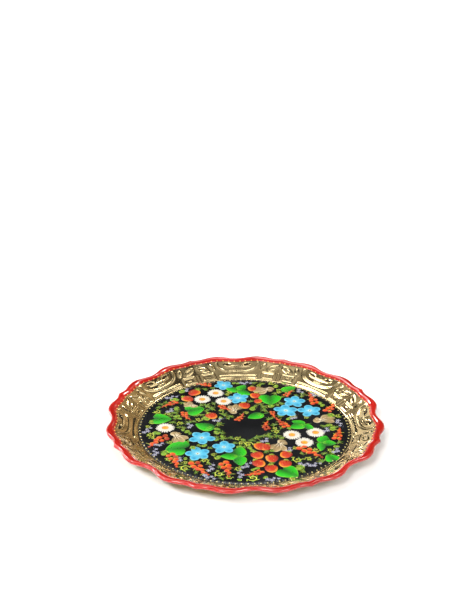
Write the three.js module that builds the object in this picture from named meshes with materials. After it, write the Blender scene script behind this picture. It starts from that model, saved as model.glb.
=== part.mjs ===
// A round scalloped tea tray, pressed from one brass sheet. The floor is flat and carries a black lacquer
// ground, the sloping wall is bare with a raised pattern, and the red enamelled flange has its edge
// curled round a steel wire. Millimetres, +Z up, the underside of the floor at z = 0.
import * as THREE from "three";

// How the outline repeats: eight sectors, each mirrored about its deep bay and about its cusp.
const SECTORS = 8;
const COLUMNS_PER_SECTOR = 16;
const COLUMNS = SECTORS * COLUMNS_PER_SECTOR;
const SECTOR_DEGREES = 360 / SECTORS;
const CUSP_DEGREES = SECTOR_DEGREES / 2;

// The outline's radius at its bay, lobe, dip and cusp, and the angles from the bay's middle at which it turns.
const MEAN_RADIUS = 195;
const BAY_RADIUS = 189.5;
const LOBE_RADIUS = 198.1;
const DIP_RADIUS = 194.2;
const CUSP_RADIUS = 197.3;
const BAY_END_DEGREES = 0.3;
const LOBE_START_DEGREES = 10;
const LOBE_END_DEGREES = 11.3;
const DIP_DEGREES = 18.4;
const CUSP_SHARPNESS = 1.6;

// Thicknesses, and the gap between two curved layers.
const SHEET = 0.8;
const LACQUER = 0.3;
const ENAMEL = 0.3;
const GAP = 0.3;

// The pressed section, as mean radius and height of the sheet's upper face.
const FLOOR_RADIUS = 151.5;
const WALL_FOOT = [153.5, 1.3];
const WALL_TOP = [182, 16.6];
const FLANGE_FOOT = [184, 17.5];
const FLANGE_MIDDLE = [187.5, 18.7];
const HEM_RADIUS = 2;
const HEM_CENTRE = [MEAN_RADIUS - HEM_RADIUS - GAP - ENAMEL, 17.4];
const WIRE_RADIUS = HEM_RADIUS - SHEET - GAP;
const WIRE_SIDES = 6;

// How much of the outline's wave each part of the section follows.
const WALL_SHARE = 0.5;
const FLANGE_SHARE = 0.75;

// The raised pattern: a bar low on the wall, a curved ridge above it, and a row of bosses under the flange.
const PANEL_DEGREES = CUSP_DEGREES / 2;
const RIDGE_HALF_WIDTH = 2.2;
const RIDGE_HEIGHT = 1.3;
const BAR_RADIUS = 155.9;
const CURVE_RADIUS = 162.6;
const CURVE_SAG = 5.5;
const BOSS_RADIUS = 175;
const BOSS_HALF_WIDTH = 2.8;
const BOSS_DEGREES = [5.6, 14.1, 19.7];

// The ground's border of small black scallops.
const GROUND_RADIUS = 149.8;
const SCALLOP_HEIGHT = 1.4;
const SCALLOPS = 112;
const SCALLOP_STEPS = 3;

const radians = THREE.MathUtils.degToRad;

// An S-shaped step from 0 to 1 as x goes from a to b.
const ease = (x, a, b) => (1 - Math.cos(Math.PI * THREE.MathUtils.clamp((x - a) / (b - a), 0, 1))) / 2;

// Degrees from the middle of the nearest bay: 0 there, CUSP_DEGREES at a cusp.
function foldOf(column) {
  const inSector = column % COLUMNS_PER_SECTOR;
  const fromBay = Math.min(inSector, COLUMNS_PER_SECTOR - inSector);
  return (fromBay * SECTOR_DEGREES) / COLUMNS_PER_SECTOR;
}

// How far the outline stands outside its mean radius at a fold angle.
function waveAt(fold) {
  const toLobe = (LOBE_RADIUS - BAY_RADIUS) * ease(fold, BAY_END_DEGREES, LOBE_START_DEGREES);
  const toDip = (DIP_RADIUS - LOBE_RADIUS) * ease(fold, LOBE_END_DEGREES, DIP_DEGREES);
  const pastDip = Math.max(0, (fold - DIP_DEGREES) / (CUSP_DEGREES - DIP_DEGREES));
  const toCusp = (CUSP_RADIUS - DIP_RADIUS) * pastDip ** CUSP_SHARPNESS;
  return BAY_RADIUS - MEAN_RADIUS + toLobe + toDip + toCusp;
}

// Degrees from the middle of a panel: bays and cusps each have one.
const fromPanelMiddle = (fold) => Math.min(fold, CUSP_DEGREES - fold);

// A station is one ring of the section: its radius and height at each fold angle.
function station([radius, height], share = 0, bend = () => 0, lift = () => 0) {
  return (fold) => [radius + share * waveAt(fold) + bend(fold), height + lift(fold)];
}

// The point on the straight wall at a mean radius.
function onWall(radius) {
  const along = (radius - WALL_FOOT[0]) / (WALL_TOP[0] - WALL_FOOT[0]);
  return [radius, THREE.MathUtils.lerp(WALL_FOOT[1], WALL_TOP[1], along)];
}

// A ridge along the wall takes three stations: its lower edge, its crest and its upper edge.
function ridge(radius, halfWidth, share, bend, lift) {
  return [
    station(onWall(radius - halfWidth), share, bend),
    station(onWall(radius), share, bend, lift),
    station(onWall(radius + halfWidth), share, bend),
  ];
}

// The low bar is broken between panels and at each cusp.
function barLift(fold) {
  const broken = Math.abs(fold - PANEL_DEGREES) < 1 || CUSP_DEGREES - fold < 1;
  return broken ? 0 : RIDGE_HEIGHT;
}

// The curved ridge sags at each panel's middle and fades out at its ends.
const panelEnd = (fold) => (fromPanelMiddle(fold) / PANEL_DEGREES) ** 2;
const curveBend = (fold) => CURVE_SAG * panelEnd(fold);
const curveLift = (fold) => RIDGE_HEIGHT * (1 - panelEnd(fold));

// Bosses stand at fixed angles under the flange.
const bossLift = (fold) => (BOSS_DEGREES.some((at) => Math.abs(fold - at) < 1) ? RIDGE_HEIGHT : 0);

// The upper face from the edge of the floor to the top of the wall.
function wallStations() {
  return [
    station([FLOOR_RADIUS, SHEET]),
    ...ridge(BAR_RADIUS, RIDGE_HALF_WIDTH, 0, undefined, barLift),
    ...ridge(CURVE_RADIUS, RIDGE_HALF_WIDTH, 0, curveBend, curveLift),
    ...ridge(BOSS_RADIUS, BOSS_HALF_WIDTH, WALL_SHARE / 2, undefined, bossLift),
    station(WALL_TOP, WALL_SHARE),
  ];
}

// The flange's convex upper face, raised by an offset square to it.
function flangeStations(offset) {
  const tilt = Math.atan2(FLANGE_MIDDLE[1] - FLANGE_FOOT[1], FLANGE_MIDDLE[0] - FLANGE_FOOT[0]);
  const out = -offset * Math.sin(tilt);
  const up = offset * Math.cos(tilt);
  return [
    station([FLANGE_FOOT[0] + out, FLANGE_FOOT[1] + up], WALL_SHARE),
    station([FLANGE_MIDDLE[0] + out, FLANGE_MIDDLE[1] + up], FLANGE_SHARE),
  ];
}

// An arc round the hem's centre, from one angle to another, both in degrees.
function hemStations(radius, from, to, steps) {
  return Array.from({ length: steps + 1 }, (_, i) => {
    const angle = radians(THREE.MathUtils.lerp(from, to, i / steps));
    const at = [HEM_CENTRE[0] + radius * Math.cos(angle), HEM_CENTRE[1] + radius * Math.sin(angle)];
    return station(at, 1);
  });
}

// The sheet's lower face, from the hem back to the edge of the floor.
function underStations() {
  const tilt = Math.atan2(WALL_TOP[1] - WALL_FOOT[1], WALL_TOP[0] - WALL_FOOT[0]);
  const out = SHEET * Math.sin(tilt);
  const down = SHEET * Math.cos(tilt);
  const below = ([radius, height]) => [radius + out, height - down];
  return [
    station(below(FLANGE_MIDDLE), FLANGE_SHARE),
    station(below(FLANGE_FOOT), WALL_SHARE),
    station(below(WALL_TOP), WALL_SHARE),
    station(below(WALL_FOOT)),
    station([FLOOR_RADIUS + out, 0]),
  ];
}

// Vertices and faces of rings joined in order. Ring i holds the vertices from i * COLUMNS on.
function joinRings(stations) {
  const positions = [];
  for (const at of stations) {
    for (let column = 0; column < COLUMNS; column++) {
      const [radius, height] = at(foldOf(column));
      const angle = (2 * Math.PI * column) / COLUMNS;
      positions.push(radius * Math.cos(angle), radius * Math.sin(angle), height);
    }
  }
  const faces = [];
  const band = (inner, outer) => {
    for (let column = 0; column < COLUMNS; column++) {
      const next = (column + 1) % COLUMNS;
      const [a, b] = [inner * COLUMNS + column, outer * COLUMNS + column];
      const [c, d] = [outer * COLUMNS + next, inner * COLUMNS + next];
      faces.push(a, b, c, a, c, d);
    }
  };
  for (let i = 0; i + 1 < stations.length; i++) {
    band(i, i + 1);
  }
  return { positions, faces, band };
}

function geometryOf({ positions, faces }) {
  const geometry = new THREE.BufferGeometry();
  geometry.setAttribute("position", new THREE.Float32BufferAttribute(positions, 3));
  geometry.setIndex(faces);
  geometry.computeVertexNormals();
  return geometry;
}

// A hoop: the last ring joins the first.
function hoop(stations) {
  const shell = joinRings(stations);
  shell.band(stations.length - 1, 0);
  return geometryOf(shell);
}

// A dish: the first and last rings close on the axis, at the heights given.
function dish(stations, topHeight, bottomHeight) {
  const shell = joinRings(stations);
  const top = stations.length * COLUMNS;
  const bottom = top + 1;
  const lastRing = (stations.length - 1) * COLUMNS;
  shell.positions.push(0, 0, topHeight, 0, 0, bottomHeight);
  for (let column = 0; column < COLUMNS; column++) {
    const next = (column + 1) % COLUMNS;
    shell.faces.push(top, column, next);
    shell.faces.push(bottom, lastRing + next, lastRing + column);
  }
  return geometryOf(shell);
}

function trayPan() {
  const stations = [
    ...wallStations(),
    ...flangeStations(0),
    ...hemStations(HEM_RADIUS, 90, -180, 6),
    ...hemStations(HEM_RADIUS - SHEET, -180, 90, 5),
    ...underStations(),
  ];
  const brass = new THREE.MeshStandardMaterial({ color: 0xc9ac6b, roughness: 0.25, metalness: 1 });
  return named("tray_pan", dish(stations, SHEET, 0), brass);
}

function edgeWire() {
  const turn = 360 / WIRE_SIDES;
  const stations = hemStations(WIRE_RADIUS, 90, turn - 270, WIRE_SIDES - 1);
  const steel = new THREE.MeshStandardMaterial({ color: 0x8a8c8e, roughness: 0.45, metalness: 1 });
  return named("edge_wire", hoop(stations), steel);
}

// The enamel covers the flange and goes round the hem to its lowest point.
function rimEnamel() {
  const inside = GAP;
  const outside = GAP + ENAMEL;
  const stations = [
    ...flangeStations(outside),
    ...hemStations(HEM_RADIUS + outside, 90, -90, 4),
    ...hemStations(HEM_RADIUS + inside, -90, 90, 4),
    ...flangeStations(inside).reverse(),
  ];
  const red = new THREE.MeshStandardMaterial({ color: 0xd3261f, roughness: 0.18, metalness: 0 });
  return named("rim_enamel", hoop(stations), red);
}

// The black ground lies on the flat floor and ends in small scallops.
function floorLacquer() {
  const outline = Array.from({ length: SCALLOPS * SCALLOP_STEPS }, (_, i) => {
    const bulge = Math.sin((Math.PI * (i % SCALLOP_STEPS)) / SCALLOP_STEPS);
    const radius = GROUND_RADIUS + SCALLOP_HEIGHT * bulge;
    const angle = (2 * Math.PI * i) / (SCALLOPS * SCALLOP_STEPS);
    return new THREE.Vector2(radius * Math.cos(angle), radius * Math.sin(angle));
  });
  const geometry = new THREE.ExtrudeGeometry(new THREE.Shape(outline), {
    depth: LACQUER,
    bevelEnabled: false,
  });
  const black = new THREE.MeshStandardMaterial({ color: 0x0b0b0d, roughness: 0.15, metalness: 0 });
  const ground = named("floor_lacquer", geometry, black);
  ground.position.z = SHEET;
  return ground;
}

function named(name, geometry, material) {
  const mesh = new THREE.Mesh(geometry, material);
  mesh.name = name;
  return mesh;
}

const tray = new THREE.Group();
tray.add(trayPan(), edgeWire(), floorLacquer(), rimEnamel());

export default tray;
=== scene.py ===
"""The looks of a painted tea tray: a pressed brass pan with a lacquered, flower-painted floor and a red rim.

Lengths are worked out in millimetres and turned into metres where a mesh is made. The tray's frame is the
CAD's: the origin under the middle of the floor, +Z up, and the middle of a bay of the outline on +X.
"""

import math
import random

import bpy
import numpy as np
from mathutils import Matrix, Vector


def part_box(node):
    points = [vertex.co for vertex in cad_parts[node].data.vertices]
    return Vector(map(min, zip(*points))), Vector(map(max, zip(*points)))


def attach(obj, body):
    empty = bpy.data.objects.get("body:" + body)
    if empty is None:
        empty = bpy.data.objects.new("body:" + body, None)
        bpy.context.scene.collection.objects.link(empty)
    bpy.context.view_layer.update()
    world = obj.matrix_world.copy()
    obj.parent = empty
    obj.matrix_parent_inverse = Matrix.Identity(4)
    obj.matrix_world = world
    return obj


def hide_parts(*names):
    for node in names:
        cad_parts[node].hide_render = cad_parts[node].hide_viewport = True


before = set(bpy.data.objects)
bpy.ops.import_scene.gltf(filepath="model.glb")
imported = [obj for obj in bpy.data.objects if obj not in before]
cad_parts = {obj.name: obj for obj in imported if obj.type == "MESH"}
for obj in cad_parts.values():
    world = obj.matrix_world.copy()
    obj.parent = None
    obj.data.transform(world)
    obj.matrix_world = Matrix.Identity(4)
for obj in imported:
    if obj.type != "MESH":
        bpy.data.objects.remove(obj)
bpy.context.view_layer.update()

MM = 0.001

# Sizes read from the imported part, in millimetres.
pan_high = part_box("tray_pan")[1]
coat_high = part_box("rim_enamel")[1]
ground_low, ground_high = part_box("floor_lacquer")
wire_low, wire_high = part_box("edge_wire")
SHEET = ground_low.z / MM
GROUND_TOP = ground_high.z / MM
GROUND_RADIUS = ground_high.x / MM
COAT_TOP = coat_high.z / MM
PAN_TOP = pan_high.z / MM
WIRE_RADIUS = (wire_high.z - wire_low.z) / 2 / MM
HEM_HEIGHT = (wire_high.z + wire_low.z) / 2 / MM

# The outline: eight sectors, mirrored about each bay and each cusp.
SECTOR = 45.0
HALF_SECTOR = SECTOR / 2
MEAN_RADIUS = 195.0
BAY, LOBE, DIP, CUSP = -5.5, 3.1, -0.8, 2.3
LOBE_START, LOBE_END, DIP_AT = 10.0, 11.3, 18.4

# The section of the pressed sheet.
HEM_RADIUS = PAN_TOP - HEM_HEIGHT
COAT_RADIUS = COAT_TOP - HEM_HEIGHT
HEM_CENTRE = MEAN_RADIUS - COAT_RADIUS
FLOOR_EDGE = (GROUND_RADIUS + 0.4, SHEET)
WALL_FOOT = (154.2, SHEET + 0.88)
WALL_TOP = (181.8, 16.5)
WALL_SLOPE = math.atan2(WALL_TOP[1] - WALL_FOOT[1], WALL_TOP[0] - WALL_FOOT[0])
WALL_SHARE = 0.5
WALL_ROWS = 32
FLANGE_ROWS = 10
INNER_RING = 60.0

# The enamel at its inner edge, and the sliver of air that keeps it off the metal.
COAT_FOOT = 0.12
COAT_GAP = 0.03

# How many of the hem's last rings show the duller brass of the underside.
UNDER_HEM_RINGS = 8

COLUMNS = 8 * 120
DEGREES = np.arange(COLUMNS) * 360.0 / COLUMNS


def lerp(a, b, t):
    return a + (b - a) * t


def cos_sin(degrees):
    return math.cos(math.radians(degrees)), math.sin(math.radians(degrees))


def smooth(x, low, high):
    t = np.clip((x - low) / (high - low), 0.0, 1.0)
    return t * t * (3 - 2 * t)


def step(x, low, high):
    return float(smooth(x, low, high))


def ease(x, low, high):
    return (1 - np.cos(np.pi * np.clip((x - low) / (high - low), 0.0, 1.0))) / 2


def linear(code):
    """A colour written as a web hex code, as linear red, green and blue."""
    parts = [int(code[i : i + 2], 16) / 255 for i in (0, 2, 4)]
    return tuple(c / 12.92 if c <= 0.04045 else ((c + 0.055) / 1.055) ** 2.4 for c in parts)


def palette(codes):
    return [linear(code) for code in codes.split()]


def mix(a, b, t):
    t = min(max(t, 0.0), 1.0)
    return tuple(p + (q - p) * t for p, q in zip(a, b))


# ---------------------------------------------------------------- the pressed sheet


def fold_of(degrees):
    """Degrees from the middle of the nearest bay, 0 to 22.5."""
    inside = np.mod(degrees, SECTOR)
    return np.minimum(inside, SECTOR - inside)


def wave(fold):
    """How far the outline stands outside its mean radius."""
    past_dip = np.clip((fold - DIP_AT) / (HALF_SECTOR - DIP_AT), 0.0, 1.0)
    rise = (LOBE - BAY) * ease(fold, 0.3, LOBE_START)
    fall = (DIP - LOBE) * ease(fold, LOBE_END, DIP_AT)
    return BAY + rise + fall + (CUSP - DIP) * past_dip**1.6


def box_distance(x, y, half_x, half_y, corner):
    """Distance outside a rounded rectangle, less than 0 inside it."""
    dx = np.abs(x) - half_x + corner
    dy = np.abs(y) - half_y + corner
    outside = np.hypot(np.maximum(dx, 0), np.maximum(dy, 0))
    return outside + np.minimum(np.maximum(dx, dy), 0) - corner


def oval_distance(x, y, half_x, half_y, tilt):
    """Roughly the distance outside an oval turned by tilt degrees."""
    c, s = cos_sin(tilt)
    u = (x * c + y * s) / half_x
    v = (-x * s + y * c) / half_y
    return (np.hypot(u, v) - 1) * min(half_x, half_y)


def raised(distance, edge):
    """1 inside a shape, falling to 0 over an edge that straddles its outline."""
    return 1 - smooth(distance, -edge, edge)


def bay_pattern(x, y):
    """The pressed pattern of the panel over a bay: x from its middle, y up the wall from radius 150."""
    bar = 1.2 * raised(box_distance(x, y - 6.6, 29.0, 2.4, 1.8), 1.6)
    across = np.abs(x) / 33.0
    up = (31.5 - y) / 16.5
    steep = np.hypot(3 * across**2 / 33.0, 2 * up / 16.5)
    bowl_off = (across**3 + up**2 - 1) / np.maximum(steep, 0.02)
    bowl = 1.3 * raised(np.abs(bowl_off) - 0.6, 2.1) * (y < 31.5)
    shelf = 0.5 * raised(box_distance(x, y - 19.6, 7.5, 0.8, 0.8), 1.4)
    lid = 0.9 * raised(box_distance(x, y - 24.6 - (x / 26.0) ** 2, 19.0, 0.8, 0.8), 1.7)
    ribs = 0.0
    for rib in (0.0, 8.5, 17.0):
        off = box_distance(np.abs(x) - rib, y - 29.0, 1.0, 1.4, 0.8)
        ribs = np.maximum(ribs, 0.4 * raised(off, 1.3))
    hollow = -1.0 * raised(oval_distance(np.abs(x) - 15.0, y - 28.2, 6.0, 2.0, 6.0), 1.3)
    return np.maximum.reduce([bar, bowl, shelf, lid, ribs]) + hollow


def cusp_pattern(x, y):
    """The pressed pattern of the panel under a cusp: two square cartouches, and leaves leaning together."""
    frame_off = box_distance(x - 16.0, y - 9.6, 10.5, 5.6, 2.2)
    cartouche = 1.2 * raised(np.abs(frame_off + 0.6) - 0.5, 1.7)
    hook = 0.5 * raised(box_distance(x - 16.0, y - 10.0, 3.2, 0.8, 0.8), 1.5)
    leaf_off = oval_distance(x - 11.5, y - 23.4, 9.5, 3.8, -24.0)
    leaf = 1.2 * raised(np.abs(leaf_off + 0.7) - 0.4, 1.8)
    bud = 1.1 * raised(oval_distance(x - 27.5, y - 24.0, 2.6, 4.8, 24.0), 1.8)
    spine = 0.7 * raised(box_distance(x, y - 9.5, 0.8, 6.5, 0.8), 1.5)
    return np.maximum.reduce([cartouche, hook, leaf, bud, spine])


def pattern(fold, radius):
    """Height of the pressed pattern at a fold angle and a mean radius."""
    y = radius - 150.0
    from_bay = np.radians(fold) * radius
    from_cusp = np.radians(HALF_SECTOR - fold) * radius
    height = np.where(fold < HALF_SECTOR / 2, bay_pattern(from_bay, y), cusp_pattern(from_cusp, y))
    return height * smooth(y, 2.6, 4.0) * (1 - smooth(y, 30.4, 31.6))


def curve_points(start, middle, end, count):
    """Points and leftward normals along a quadratic curve."""
    made = []
    for i in range(count):
        t = i / (count - 1)
        r, z = ((1 - t) ** 2 * a + 2 * t * (1 - t) * b + t * t * c for a, b, c in zip(start, middle, end))
        dr, dz = ((1 - t) * (b - a) + t * (c - b) for a, b, c in zip(start, middle, end))
        size = math.hypot(dr, dz)
        made.append((r, z, -dz / size, dr / size))
    return made


def upper_section():
    """The sheet's upper face from the floor's edge to the crest, as (radius, height, normal, share)."""
    fillet = curve_points(FLOOR_EDGE, (FLOOR_EDGE[0] + 1.1, SHEET), WALL_FOOT, 5)
    tilt = (-math.sin(WALL_SLOPE), math.cos(WALL_SLOPE))
    crest = (HEM_CENTRE, PAN_TOP)
    flange = curve_points(WALL_TOP, (187.5, PAN_TOP), crest, FLANGE_ROWS)
    rows = [(*p, 0.0) for p in fillet]
    for i in range(1, WALL_ROWS):
        r, z = (lerp(foot, top, i / WALL_ROWS) for foot, top in zip(WALL_FOOT, WALL_TOP))
        rows.append((r, z, *tilt, WALL_SHARE * (r - WALL_FOOT[0]) / (WALL_TOP[0] - WALL_FOOT[0])))
    rows += [(*p, lerp(WALL_SHARE, 1.0, i / (FLANGE_ROWS - 1))) for i, p in enumerate(flange)]
    return rows


def hem_arc(radius, start, end, count):
    """Rows round the hem's centre, from one angle to another in degrees."""
    rows = []
    for i in range(count):
        c, s = cos_sin(lerp(start, end, i / (count - 1)))
        rows.append((HEM_CENTRE + radius * c, HEM_HEIGHT + radius * s, 1.0))
    return rows


def ring(radius, height, share, degrees=DEGREES, lift=0.0, normal=(0.0, 1.0)):
    """One ring of vertices, which may be lifted along the section's normal."""
    fold = fold_of(degrees)
    r = radius + share * wave(fold) + lift * normal[0]
    z = np.zeros(len(fold)) + height + lift * normal[1]
    a = np.radians(degrees)
    return np.stack([r * np.cos(a), r * np.sin(a), z], axis=1)


def grid_faces(rows, columns, loop_rows=False):
    """Quads joining rings that go outwards along an upper face."""
    faces = []
    for i in range(rows if loop_rows else rows - 1):
        here, there = i * columns, ((i + 1) % rows) * columns
        for j in range(columns):
            k = (j + 1) % columns
            faces.append((here + j, there + j, there + k, here + k))
    return faces


def close_ends(faces, rings, columns):
    """Fans from two middle points, numbered after the rings, to the first ring and to the last."""
    middle, last = rings * columns, (rings - 1) * columns
    for j in range(columns):
        k = (j + 1) % columns
        faces.append((middle, j, k))
        faces.append((middle + 1, last + k, last + j))


def make_object(name, points, faces, materials, attributes=None, face_materials=None):
    """A mesh object from points in millimetres."""
    mesh = bpy.data.meshes.new(name)
    mesh.from_pydata([tuple(float(c) * MM for c in p) for p in points], [], faces)
    for material in materials:
        mesh.materials.append(material)
    if face_materials is not None:
        mesh.polygons.foreach_set("material_index", face_materials)
    for key, values in (attributes or {}).items():
        if len(values[0]) == 1:
            layer = mesh.attributes.new(key, "FLOAT", "POINT")
            layer.data.foreach_set("value", [float(v[0]) for v in values])
        else:
            layer = mesh.attributes.new(key, "FLOAT_COLOR", "POINT")
            layer.data.foreach_set("color", [float(c) for v in values for c in (*v, 1.0)])
    mesh.polygons.foreach_set("use_smooth", [True] * len(mesh.polygons))
    mesh.update()
    mesh.validate()
    obj = bpy.data.objects.new(name, mesh)
    bpy.context.scene.collection.objects.link(obj)
    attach(obj, "root")
    return obj


def build_pan(polished, backside):
    """The whole sheet: floor, patterned wall, flange, curled hem, and the underside with its hollows."""
    fold = fold_of(DEGREES)
    rings, heights = [], []

    def add(points, relief=None):
        rings.append(points)
        heights.append(np.zeros(COLUMNS) if relief is None else relief)

    for radius in (INNER_RING, 148.0):
        add(ring(radius, SHEET, 0.0))
    upper = upper_section()
    for r, z, nr, nz, share in upper:
        relief = pattern(fold, r)
        add(ring(r, z, share, DEGREES, relief, (nr, nz)), relief)
    for row in hem_arc(HEM_RADIUS, 70, -180, 12) + hem_arc(HEM_RADIUS - SHEET, -180, 90, 6):
        add(ring(*row))
    under_from = (len(rings) - UNDER_HEM_RINGS) * COLUMNS
    for r, z, nr, nz, share in upper[-3:4:-2]:
        relief = pattern(fold, r)
        add(ring(r, z, share, DEGREES, relief - SHEET, (nr, nz)), relief)
    for radius in (FLOOR_EDGE[0] + 0.6, INNER_RING):
        add(ring(radius, 0.0, 0.0))

    faces = grid_faces(len(rings), COLUMNS)
    sides = [0 if min(f[0], f[1]) < under_from else 1 for f in faces] + [0, 1] * COLUMNS
    close_ends(faces, len(rings), COLUMNS)
    relief = np.concatenate([*heights, [0.0, 0.0]])
    pan = make_object(
        "pan_metal",
        np.vstack([*rings, [[0, 0, SHEET], [0, 0, 0]]]),
        faces,
        (polished, backside),
        attributes={"relief": [(v,) for v in relief]},
        face_materials=sides,
    )
    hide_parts("tray_pan")


def build_rim_coat(enamel):
    """Red enamel over the flange and round the hem, thinning to nothing at its inner edge."""
    full = COAT_RADIUS - HEM_RADIUS
    flange = [row for row in upper_section() if row[0] > WALL_TOP[0] + 0.3]
    rings = []
    for i, (r, z, nr, nz, share) in enumerate(flange):
        thickness = lerp(COAT_FOOT, full, step(i / (len(flange) - 1), 0.0, 0.6))
        rings.append(ring(r, z, share, DEGREES, thickness, (nr, nz)))
    for row in hem_arc(COAT_RADIUS, 72, -95, 11) + hem_arc(HEM_RADIUS + COAT_GAP, -95, 90, 8):
        rings.append(ring(*row))
    for r, z, nr, nz, share in flange[-2::-1]:
        rings.append(ring(r, z, share, DEGREES, COAT_GAP, (nr, nz)))
    faces = grid_faces(len(rings), COLUMNS, loop_rows=True)
    coat = make_object("rim_coat", np.concatenate(rings), faces, (enamel,))
    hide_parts("rim_enamel")


def build_wire(steel):
    """The wire inside the hem."""
    rings = [ring(*row, DEGREES[::2]) for row in hem_arc(WIRE_RADIUS, 90, -240, 12)]
    faces = grid_faces(len(rings), COLUMNS // 2, loop_rows=True)
    wire = make_object("hem_wire", np.concatenate(rings), faces, (steel,))
    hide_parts("edge_wire")


SCALLOPS = 112
SCALLOP_COLUMNS = 10
SCALLOP_DEPTH = 1.5
GROUND_FOOT = SHEET + 0.01


def build_ground(lacquer):
    """The black ground, ending in a border of small scallops."""
    columns = SCALLOPS * SCALLOP_COLUMNS
    degrees = np.arange(columns) * 360.0 / columns
    across = 2 * np.mod(np.arange(columns) / SCALLOP_COLUMNS, 1.0) - 1
    edge = GROUND_RADIUS - SCALLOP_DEPTH + SCALLOP_DEPTH * np.sqrt(np.clip(1 - across**2, 0.0, 1.0))
    rows = [(radius, GROUND_TOP) for radius in (50.0, 100.0, 140.0, edge - 0.5)]
    rows += [(edge - 0.12, GROUND_TOP - 0.06), (edge, SHEET + 0.12)]
    rows += [(edge, GROUND_FOOT), (100.0, GROUND_FOOT)]
    rings = [ring(radius, height, 0.0, degrees) for radius, height in rows]
    faces = grid_faces(len(rings), columns)
    close_ends(faces, len(rings), columns)
    points = np.vstack([*rings, [[0, 0, GROUND_TOP], [0, 0, GROUND_FOOT]]])
    ground = make_object("ground_lacquer", points, faces, (lacquer,))
    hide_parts("floor_lacquer")


# ---------------------------------------------------------------- the painter's tools

# The painting sits on the pressing turned by this many degrees.
PAINT_TURN = -2.8
# Paint goes a hair into the ground, so that no dab floats.
PAINT_FOOT = GROUND_TOP - 0.02


class Paint:
    """Collects dabs and strokes of paint, each a thin closed solid on the ground, as one mesh."""

    def __init__(self):
        self.points = []
        self.colours = []
        self.faces = []

    def vertex(self, x, y, z, colour):
        self.points.append((x, y, z))
        self.colours.append(colour)
        return len(self.points) - 1

    def dab(self, outline, middle, tint, lift, dome, rings=(0.35, 0.65, 0.86, 0.97)):
        """A filled shape, star-shaped about its middle. tint(t, x, y) gives its colour, t being 0 there."""
        n = len(outline)
        mx, my = middle
        top = self.vertex(mx, my, GROUND_TOP + lift + dome, tint(0.0, mx, my))
        previous = None
        for t in (*rings, 1.0):
            start = len(self.points)
            for ox, oy in outline:
                x, y = lerp(mx, ox, t), lerp(my, oy, t)
                z = GROUND_TOP + lift + dome * (1 - t * t) if t < 1 else PAINT_FOOT
                self.vertex(x, y, z, tint(t, x, y))
            for j in range(n):
                k = (j + 1) % n
                if previous is None:
                    self.faces.append((top, start + j, start + k))
                else:
                    self.faces.append((previous + j, start + j, start + k, previous + k))
            previous = start
        bottom = self.vertex(mx, my, PAINT_FOOT, tint(0.0, mx, my))
        for j in range(n):
            self.faces.append((bottom, previous + (j + 1) % n, previous + j))

    def dot(self, at, radius, count, tint, lift, dome, squash=1.0, turn=0.0):
        """A round or oval dab."""
        self.dab(disc(at, radius, count, squash, turn), at, tint, lift, dome)

    def stroke(self, path, width, colour, tail, lift):
        """A brush stroke along a path, swelling at a third of its length and thinning to its ends."""
        n = len(path)
        shoulder = GROUND_TOP + lift * 0.85
        rows = []
        for i, (x, y) in enumerate(path):
            ax, ay = path[max(i - 1, 0)]
            bx, by = path[min(i + 1, n - 1)]
            size = math.hypot(bx - ax, by - ay) or 1.0
            nx, ny = -(by - ay) / size, (bx - ax) / size
            t = i / (n - 1)
            half = width / 2 * max(0.12, math.sin(math.pi * (0.08 + 0.9 * t) ** 0.7))
            c = mix(colour, tail, t)
            crest = GROUND_TOP + lift + 0.05 * half
            section = ((1, PAINT_FOOT), (0.8, shoulder), (0, crest), (-0.8, shoulder), (-1, PAINT_FOOT))
            rows.append([self.vertex(x + nx * half * s, y + ny * half * s, z, c) for s, z in section])
        for a, b in zip(rows, rows[1:]):
            for j in range(5):
                k = (j + 1) % 5
                self.faces.append((a[j], a[k], b[k], b[j]))
        self.faces.append(tuple(reversed(rows[0])))
        self.faces.append(tuple(rows[-1]))

    def finish(self, name, material, slot):
        """Turns the paint by the angle at which the painting sits on the pressing, and makes the object."""
        c, s = cos_sin(PAINT_TURN)
        points = [(x * c - y * s, x * s + y * c, z) for x, y, z in self.points]
        obj = make_object(name, points, self.faces, (material,), attributes={"paint": self.colours})


def place(u, v, at, turn):
    """A point given along and across a motif, moved to its place. turn is in degrees."""
    c, s = cos_sin(turn)
    return at[0] + u * c - v * s, at[1] + u * s + v * c


def petal(length, width, shape, count):
    """A petal's outline from its base. shape is two powers: the smaller one is, the blunter that end."""
    base, tip = shape
    peak = base / (base + tip)
    fullest = peak**base * (1 - peak) ** tip
    outline = []
    for i in range(count):
        a = 2 * math.pi * (i + 0.5) / count
        u = (1 - math.cos(a)) / 2
        half = width / 2 * u**base * (1 - u) ** tip / fullest
        outline.append((length * u, half if a < math.pi else -half))
    return outline


def put_petal(paint, at, turn, length, width, shape, shade, start, lift, dome, count):
    """One petal growing from `at`. shade(t, u, v) takes the share out, along and across."""
    c, s = cos_sin(turn)

    def tint(t, x, y):
        dx, dy = x - at[0], y - at[1]
        u = ((dx * c + dy * s) - start) / length
        v = (-dx * s + dy * c) / (width / 2)
        return shade(t, u, v)

    outline = [place(start + u, v, at, turn) for u, v in petal(length, width, shape, count)]
    middle = place(start + length * shape[0] / sum(shape), 0, at, turn)
    paint.dab(outline, middle, tint, lift, dome)


def arc_path(start, heading, length, curl, count):
    """A path of a given length whose heading turns by curl degrees along it."""
    x, y = start
    path = [(x, y)]
    for i in range(count):
        c, s = cos_sin(heading + curl * (i + 0.5) / count)
        x += length / count * c
        y += length / count * s
        path.append((x, y))
    return path


def disc(at, radius, count, squash=1.0, turn=0.0):
    angles = [2 * math.pi * i / count for i in range(count)]
    return [place(radius * math.cos(a), radius * squash * math.sin(a), at, turn) for a in angles]


def facing(x, y, middle, degrees):
    """1 on the side of a dab that lies in a direction from its middle, -1 on the other side."""
    return math.cos(math.atan2(y - middle[1], x - middle[0]) - math.radians(degrees))


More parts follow.
